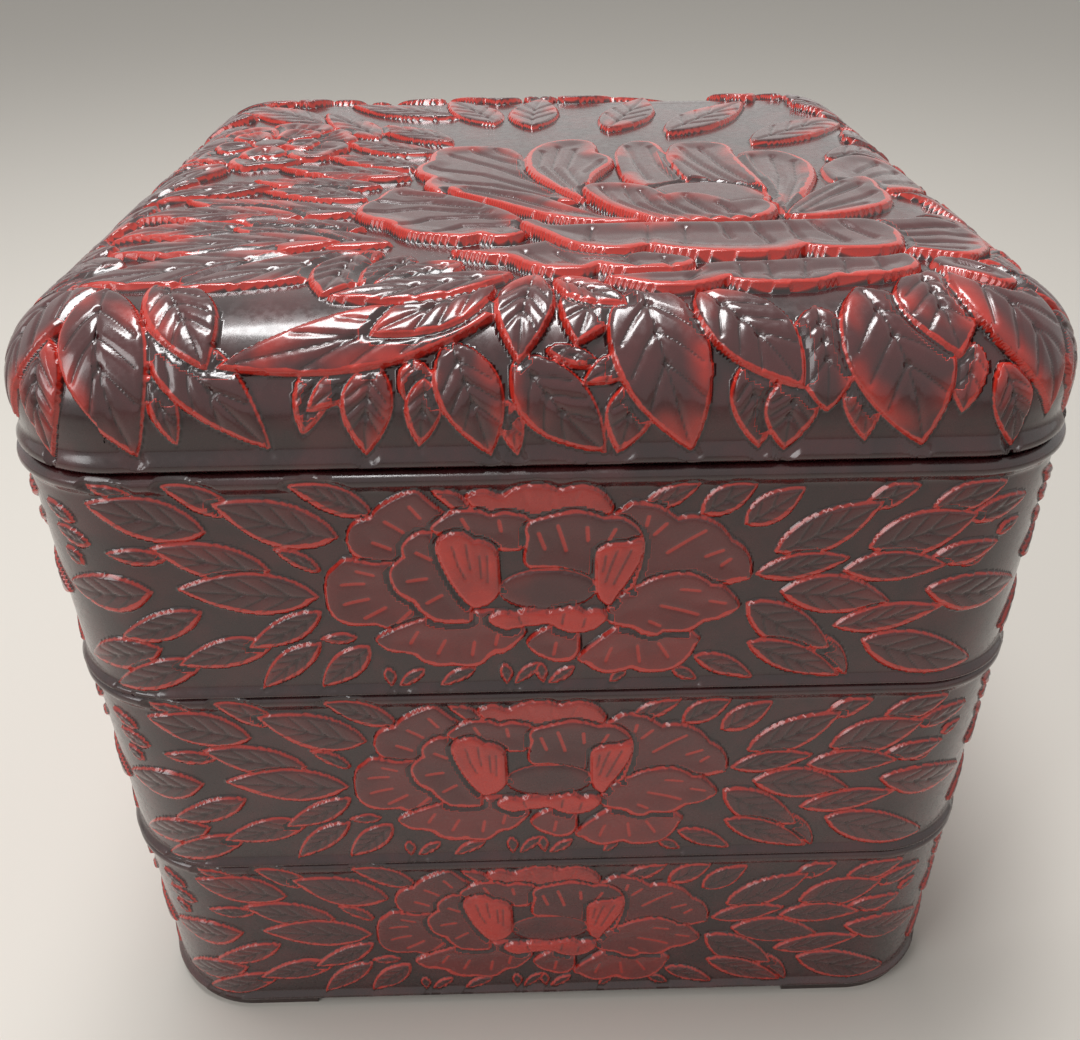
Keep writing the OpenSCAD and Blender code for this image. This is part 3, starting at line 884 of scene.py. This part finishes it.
def lid_quadrant(corner, material):
    """A quarter of the lid: its carved face, its bottom edge, the inside of its rails and the ceiling."""
    count = lid_face.shape[0]
    mid, last = count // 2, count - 1
    i0, i1 = (mid, last) if corner in (0, 1) else (0, mid)
    j0, j1 = (mid, last) if corner in (1, 2) else (0, mid)
    rows = slice(i0, i1 + 1), slice(j0, j1 + 1)
    across = j1 - j0 + 1
    top = lid_face[rows].reshape(-1, 3)

    def at(i, j):
        return (i - i0) * across + (j - j0)

    # Inside, two rings follow the foot: the bottom and the top of the rails' inner faces
    walk = outer_walk(corner, mid, last)
    inner_half = LID_HALF - RAIL_T
    steps = np.array(walk, float) / last * 2 - 1
    ring_low = np.column_stack([steps * inner_half, np.full(len(walk), LID_Z)])
    ring_high = np.column_stack([steps * inner_half, np.full(len(walk), LID_Z + RAIL_H)])
    hub = np.array([[0, 0, LID_Z + RAIL_H]])
    points = np.concatenate([top, ring_low, ring_high, hub])
    outer = np.array([at(i, j) for i, j in walk])
    low = len(top) + np.arange(len(walk))
    high = low + len(walk)
    centre = len(points) - 1
    carved = quad_faces(np.arange(len(top)).reshape(i1 - i0 + 1, across))
    bottom = np.stack([outer[1:], outer[:-1], low[:-1], low[1:]], axis=-1)
    wall = np.stack([low[1:], low[:-1], high[:-1], high[1:]], axis=-1)
    # Two flat cuts through the lid's middle close the quarter, and a fan from the hub is its ceiling
    (a, b), (c, d) = walk[0], walk[-1]
    first = [at(a + (mid - a) * k // mid, b + (mid - b) * k // mid) for k in range(mid + 1)]
    second = [at(c + (mid - c) * k // mid, d + (mid - d) * k // mid) for k in range(mid, -1, -1)]
    ngons = [
        [centre] + list(high[::-1]),
        first + [centre, high[0], low[0]],
        second + [low[-1], high[-1], centre],
    ]
    normals = lid_normals[rows].reshape(-1, 3)
    pick = np.arange(lid_face.shape[0] ** 2).reshape(count, count)[rows].ravel()
    quads = np.concatenate([carved, bottom, wall])
    name = "lid_" + QUADRANTS[corner] + "_carving"
    fields = sheet_fields(lid_sheet, pick)
    piece = make_mesh(name, points, quads, ngons, len(carved), normals, fields, material)
    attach(piece, "lid")
    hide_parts("lid_" + SIDES[corner] + "_rail", "lid_top_panel")
    return piece


# %% [markdown]
# Lacquer
#
# The carved faces are carved wood under a vermilion coat and a dark translucent one, rubbed through on the
# edges and polished. To the eye that gives a dark red-brown gloss, bright red lines that follow the cut
# edges, widest where an edge faces down, and near-black recesses; the dark of the recesses and of the sunk
# ground is painted shade. The fields kept by the sheet carry this: the red follows the distance to an
# outline, so its edge stays crisp even where the mesh is coarse.

# %% Helpers for colours and nodes


def linear(code):
    """A colour written as sRGB hex, as the linear values that a shader works in."""
    values = [int(code[k:k + 2], 16) / 255 for k in (1, 3, 5)]
    return tuple(v / 12.92 if v <= 0.04045 else ((v + 0.055) / 1.055) ** 2.4 for v in values) + (1.0,)


def add(tree, kind, inputs=(), out=0, **settings):
    """Adds a node, sets or links its inputs by place or by name, and gives one of its outputs."""
    node = tree.nodes.new("ShaderNode" + kind)
    for key, value in settings.items():
        setattr(node, key, value)
    places = inputs.items() if isinstance(inputs, dict) else enumerate(inputs)
    for place, value in places:
        if isinstance(value, bpy.types.NodeSocket):
            tree.links.new(value, node.inputs[place])
        else:
            node.inputs[place].default_value = value
    return node.outputs[out] if len(node.outputs) else None


PLUS = {"operation": "ADD"}
MINUS = {"operation": "SUBTRACT"}
TIMES = {"operation": "MULTIPLY"}
LARGER = {"operation": "MAXIMUM"}
# A soft step takes a value, where it starts and ends, and what it gives there: 0 and 1 if left out
STEP = {"interpolation_type": "SMOOTHSTEP"}
# A tint mixes two colours: input 0 is the share of the second one, 6 and 7 are the colours
TINT = {"data_type": "RGBA", "out": 2}


def new_material(name):
    material = bpy.data.materials.new(name)
    material.use_nodes = True
    tree = material.node_tree
    tree.nodes.clear()
    return material, tree


def feature(size):
    """The scale of a noise whose features are about so many millimetres wide."""
    return 1 / (size * MM)


# %% [markdown]
# The coats on the carving
#
# The carver's fields are read as attributes. Distances are in millimetres from a cut edge, positive on the
# motif and negative on the ground behind it, so each mark of the rubbing is a soft step between two such
# distances. Noises from 1.4 to 16 mm wide stand for the uneven hand that rubs.

# %% Mix the coats, the red that shows through, and the painted shade in the cuts
DARK_COAT = "#43191b"
WARM_COAT = "#5a2123"
# The dark coat under painted shade, for the sunk ground behind the motifs
GROUND_COAT_IN_PAINTED_SHADE = "#2b1214"
# Near-black painted shade for the veins and for the cut beside each edge
PAINTED_CUT_SHADE = "#100809"
VERMILION = "#b3261d"
BRIGHT_RED = "#c4301f"
# Hardened lacquer bends light a little more than most clear coats do
LACQUER_IOR = 1.52


def dark_coat_and_ground_shade(tree, edge, patchy):
    """The translucent dark coat, warmer in patches, with painted shade that darkens the sunk ground behind
    the motifs.
    """
    # Painted shade: off the motifs, the ground takes the darker colour
    above = add(tree, "MapRange", [edge, -0.3, 0.5], **STEP)
    coat = add(tree, "Mix", {0: above, 6: linear(GROUND_COAT_IN_PAINTED_SHADE), 7: linear(DARK_COAT)}, **TINT)
    warm = add(tree, "MapRange", [patchy, 0.35, 0.75, 0.0, 0.5], **STEP)
    return add(tree, "Mix", {0: warm, 6: coat, 7: linear(WARM_COAT)}, **TINT)


def rubbed_edges(tree, edge, patchy, fine):
    """The red line along each cut edge, as wide as the sheet's rub says, and uneven."""
    rub = add(tree, "Attribute", out="Fac", attribute_name="rub")
    broad = add(tree, "Math", [patchy, 1.5], **TIMES)
    narrow = add(tree, "Math", [fine, 0.5], **TIMES)
    wear = add(tree, "Math", [broad, narrow], **PLUS)
    width = add(tree, "Math", [rub, wear], **TIMES)
    past = add(tree, "Math", [edge, width], **MINUS)
    inner_side = add(tree, "MapRange", [past, -0.15, 0.15, 1.0, 0.0], **STEP)
    outer_side = add(tree, "MapRange", [edge, -0.3, -0.1], **STEP)
    return add(tree, "Math", [inner_side, outer_side], **TIMES)


def rubbed_patches(tree, where, edge, blot):
    """The soft red that spreads in from an edge, where the rubbing happened to be stronger."""
    spread = add(tree, "MapRange", [edge, 0.3, 5.5, 1.0, 0.0], **STEP)
    on_motif = add(tree, "MapRange", [edge, -0.2, 0.2], **STEP)
    soft = add(tree, "Math", [spread, on_motif], **TIMES)
    hand = add(tree, "TexNoise", {"Vector": where, "Scale": feature(16.0), "Detail": 2.0})
    zone = add(tree, "MapRange", [hand, 0.48, 0.66, 0.0, blot], **STEP)
    return add(tree, "Math", [soft, zone], **TIMES)


def red_motifs(tree, edge, patchy):
    """The motifs that are red all over, and the short red strokes on the petals."""
    fill = add(tree, "Attribute", out="Fac", attribute_name="fill")
    stroke = add(tree, "Attribute", out="Fac", attribute_name="stroke")
    on_motif = add(tree, "MapRange", [edge, -0.1, 0.2], **STEP)
    uneven = add(tree, "MapRange", [patchy, 0.2, 0.6, 0.55, 1.0], **STEP)
    whole = add(tree, "Math", [add(tree, "Math", [fill, on_motif], **TIMES), uneven], **TIMES)
    drawn = add(tree, "MapRange", [stroke, 0.25, 0.5, 0.8, 0.0], **STEP)
    return add(tree, "Math", [whole, drawn], **LARGER)


def shade_painted_in_cuts(tree, colour, edge, vein):
    """Painted shade: near-black in the veins and in the deepest cut beside an edge."""
    vein_shade = add(tree, "MapRange", [vein, 0.1, 0.4, 0.6, 0.0], **STEP)
    colour = add(tree, "Mix", {0: vein_shade, 6: colour, 7: linear(PAINTED_CUT_SHADE)}, **TINT)
    far_side = add(tree, "MapRange", [edge, -0.9, -0.15], **STEP)
    near_side = add(tree, "MapRange", [edge, -0.15, -0.02, 0.75, 0.0], **STEP)
    beside = add(tree, "Math", [far_side, near_side], **TIMES)
    return add(tree, "Mix", {0: beside, 6: colour, 7: linear(PAINTED_CUT_SHADE)}, **TINT)


# %% Put the carved lacquer together


def lacquer_relief(tree, where, edge, vein):
    """The lacquer's own thickness: thin over edges and veins, with a faint wave from the brush."""
    cut = add(tree, "MapRange", [vein, 0.0, 0.35, -0.12, 0.0], **STEP)
    lip = add(tree, "MapRange", [edge, 0.0, 0.5, -0.1, 0.0], **STEP)
    brush = add(tree, "TexNoise", {"Vector": where, "Scale": feature(2.5), "Detail": 4.0})
    wave = add(tree, "Math", [brush, 0.05], **TIMES)
    height = add(tree, "Math", [add(tree, "Math", [cut, lip], **PLUS), wave], **PLUS)
    return add(tree, "Bump", {"Strength": 0.6, "Distance": MM, "Height": height})


def carved_lacquer(name, blot):
    """Rubbed lacquer with painted shade in its cuts and on its sunk ground, where blot is how strongly the
    soft red patches show.
    """
    material, tree = new_material(name)
    where = add(tree, "TexCoord", out="Object")
    edge = add(tree, "Attribute", out="Fac", attribute_name="edge")
    vein = add(tree, "Attribute", out="Fac", attribute_name="vein")
    patchy = add(tree, "TexNoise", {"Vector": where, "Scale": feature(9.0), "Detail": 3.0})
    fine = add(tree, "TexNoise", {"Vector": where, "Scale": feature(1.4), "Detail": 3.0})
    coat = dark_coat_and_ground_shade(tree, edge, patchy)
    lines = rubbed_edges(tree, edge, patchy, fine)
    patches = rubbed_patches(tree, where, edge, blot)
    motifs = red_motifs(tree, edge, patchy)
    rubbed = add(tree, "Math", [lines, patches], **LARGER)
    red = add(tree, "Math", [rubbed, motifs], **LARGER)
    red_coat = add(tree, "Mix", {0: fine, 6: linear(VERMILION), 7: linear(BRIGHT_RED)}, **TINT)
    colour = add(tree, "Mix", {0: red, 6: coat, 7: red_coat}, **TINT)
    # Painted shade darkens the veins and the cuts, over the coats and the red
    colour = shade_painted_in_cuts(tree, colour, edge, vein)
    rough = add(tree, "MapRange", [fine, 0.3, 0.7, 0.2, 0.32], **STEP)
    shader = add(tree, "BsdfPrincipled", {
        "Base Color": colour, "Roughness": rough, "Normal": lacquer_relief(tree, where, edge, vein),
        "IOR": LACQUER_IOR, "Coat Weight": 0.5, "Coat Roughness": 0.12,
    })
    add(tree, "OutputMaterial", {"Surface": shader})
    return material


# %% [markdown]
# The smooth lacquer
#
# The insides, the floors and the feet are plain brushed lacquer over wood. To the eye it is near black with
# a clear gloss, a slow wave from the brush and a fine grit that barely shows. The feet are duller, because
# they rub on every shelf.

# %% Mix the smooth lacquer


def plain_lacquer(name, dark, light, rough):
    """Two close tones and a roughness, with the brush's wave and the grit as relief."""
    material, tree = new_material(name)
    where = add(tree, "TexCoord", out="Object")
    wave = add(tree, "TexNoise", {"Vector": where, "Scale": feature(14.0), "Detail": 3.0})
    grit = add(tree, "TexNoise", {"Vector": where, "Scale": feature(1.2), "Detail": 2.0})
    shade = add(tree, "MapRange", [wave, 0.3, 0.7], **STEP)
    tone = add(tree, "Mix", {0: shade, 6: linear(dark), 7: linear(light)}, **TINT)
    high_wave = add(tree, "Math", [wave, 0.3], **TIMES)
    high_grit = add(tree, "Math", [grit, 0.04], **TIMES)
    height = add(tree, "Math", [high_wave, high_grit], **PLUS)
    bump = add(tree, "Bump", {"Strength": 0.25, "Distance": MM, "Height": height})
    gloss = add(tree, "MapRange", [grit, 0.3, 0.7, rough, rough + 0.08], **STEP)
    shader = add(tree, "BsdfPrincipled", {
        "Base Color": tone, "Roughness": gloss, "Normal": bump, "Coat Weight": 0.4, "Coat Roughness": 0.1,
    })
    add(tree, "OutputMaterial", {"Surface": shader})
    return material


# %% Make the four lacquers
band_lacquer = carved_lacquer("rubbed_vermilion_lacquer_on_bands", blot=0.15)
lid_lacquer = carved_lacquer("rubbed_vermilion_lacquer_on_lid", blot=0.85)
inside_lacquer = plain_lacquer("black_lacquer_inside", dark="#160b0b", light="#1f1010", rough=0.2)
foot_lacquer = plain_lacquer("dark_lacquer_on_feet", dark="#24100f", light="#2e1513", rough=0.35)
for lacquer in (band_lacquer, lid_lacquer, inside_lacquer, foot_lacquer):
    print(lacquer.name, "has", len(lacquer.node_tree.nodes), "nodes")

# %% [markdown]
# Dressing the box
#
# Each carved board takes the place of the plain one and rides on its own tier, and the lid's quarters ride
# on the lid, so they lift with the pieces that they belong to. What isn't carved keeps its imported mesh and
# only gets its lacquer.

# %% Make the boards and the lid
for tier in TIERS:
    for quarter in range(4):
        board = side_board(tier, quarter, band_lacquer)
print("Each board has", len(board.data.polygons), "faces")
for corner in range(4):
    quadrant = lid_quadrant(corner, lid_lacquer)
print("Each quarter of the lid has", len(quadrant.data.polygons), "faces")

# %% Lacquer the plain pieces
for name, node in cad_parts.items():
    finish = foot_lacquer if name.endswith("_foot") else inside_lacquer
    node.data.materials.clear()
    node.data.materials.append(finish)
print("Lacquered", len(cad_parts), "pieces of the packed model")

# %% [markdown]
# Floor, light and camera
#
# The box stands on a plain pale floor in soft studio light. The camera looks down at it from close by, as
# in the photograph: its place and lens were worked out from the seams and corners of the box.

# %% Lay the floor
FLOOR_HALF = 4.0


def studio_floor():
    mesh = bpy.data.meshes.new("floor")
    corners = [(FLOOR_HALF * c, FLOOR_HALF * s, 0) for c, s in ((-1, -1), (1, -1), (1, 1), (-1, 1))]
    mesh.from_pydata(corners, [], [(0, 1, 2, 3)])
    floor = bpy.data.objects.new("floor", mesh)
    bpy.context.scene.collection.objects.link(floor)
    material, tree = new_material("pale_floor")
    shader = add(tree, "BsdfPrincipled", {"Base Color": linear("#d9d4cc"), "Roughness": 0.6})
    add(tree, "OutputMaterial", {"Surface": shader})
    mesh.materials.append(material)


studio_floor()
print("Floor", 2 * FLOOR_HALF, "m wide")

# %% Light the studio


def studio_world(around, seen):
    """A pale room: its strength as light on the box, and as what is seen directly or in the gloss."""
    world = bpy.data.worlds.new("studio")
    bpy.context.scene.world = world
    world.use_nodes = True
    tree = world.node_tree
    tree.nodes.clear()
    direct = add(tree, "LightPath", out="Is Camera Ray")
    through = add(tree, "LightPath", out="Is Transmission Ray")
    mirrored = add(tree, "LightPath", out="Is Glossy Ray")
    shown = add(tree, "Math", [direct, through], **LARGER)
    shown = add(tree, "Math", [shown, mirrored], **LARGER)
    more = add(tree, "Math", [shown, seen - around], **TIMES)
    strength = add(tree, "Math", [more, around], **PLUS)
    back = add(tree, "Background", {"Color": linear("#efedea"), "Strength": strength})
    add(tree, "OutputWorld", {"Surface": back})


def softbox(name, place, aim, size, power):
    data = bpy.data.lights.new(name, "AREA")
    data.shape = "RECTANGLE"
    data.size, data.size_y = size
    data.energy = power
    lamp = bpy.data.objects.new(name, data)
    bpy.context.scene.collection.objects.link(lamp)
    lamp.location = place
    lamp.rotation_euler = (Vector(aim) - Vector(place)).to_track_quat("-Z", "Y").to_euler()


BOX_MIDDLE = (0, 0, 0.1)
studio_world(around=0.35, seen=0.9)
softbox("overhead", place=(-0.1, 0.1, 1.1), aim=BOX_MIDDLE, size=(0.5, 0.3), power=9.0)
softbox("window", place=(-0.9, -0.7, 0.8), aim=BOX_MIDDLE, size=(0.5, 0.7), power=5.0)
print("Lamps:", ", ".join(lamp.name for lamp in bpy.data.lights))

# %% Place the camera
CAMERA_MM = (-3.9, -248.35, 241.2)
# The focal length, and the picture's width that it goes with, in pixels
FOCAL_PX = 1031.5
PHOTO_W = 1080
# How far the camera looks down, leans and turns, in radians
PITCH = 0.577
ROLL = -0.011
YAW = -0.017


def photo_camera():
    data = bpy.data.cameras.new("photo_camera")
    data.sensor_width = 36.0
    data.sensor_fit = "HORIZONTAL"
    data.lens = FOCAL_PX * data.sensor_width / PHOTO_W
    data.clip_start = 0.01
    camera = bpy.data.objects.new("photo_camera", data)
    bpy.context.scene.collection.objects.link(camera)
    turn = Matrix.Rotation(YAW, 4, "Z")
    turn = turn @ Matrix.Rotation(math.pi / 2 - PITCH, 4, "X") @ Matrix.Rotation(ROLL, 4, "Z")
    camera.matrix_world = Matrix.Translation(Vector(CAMERA_MM) * MM) @ turn
    bpy.context.scene.camera = camera
    return camera


camera = photo_camera()
print("Camera", CAMERA_MM, "mm, lens", round(camera.data.lens, 1), "mm")

# %% Finish
bpy.context.scene.view_settings.view_transform = "Standard"
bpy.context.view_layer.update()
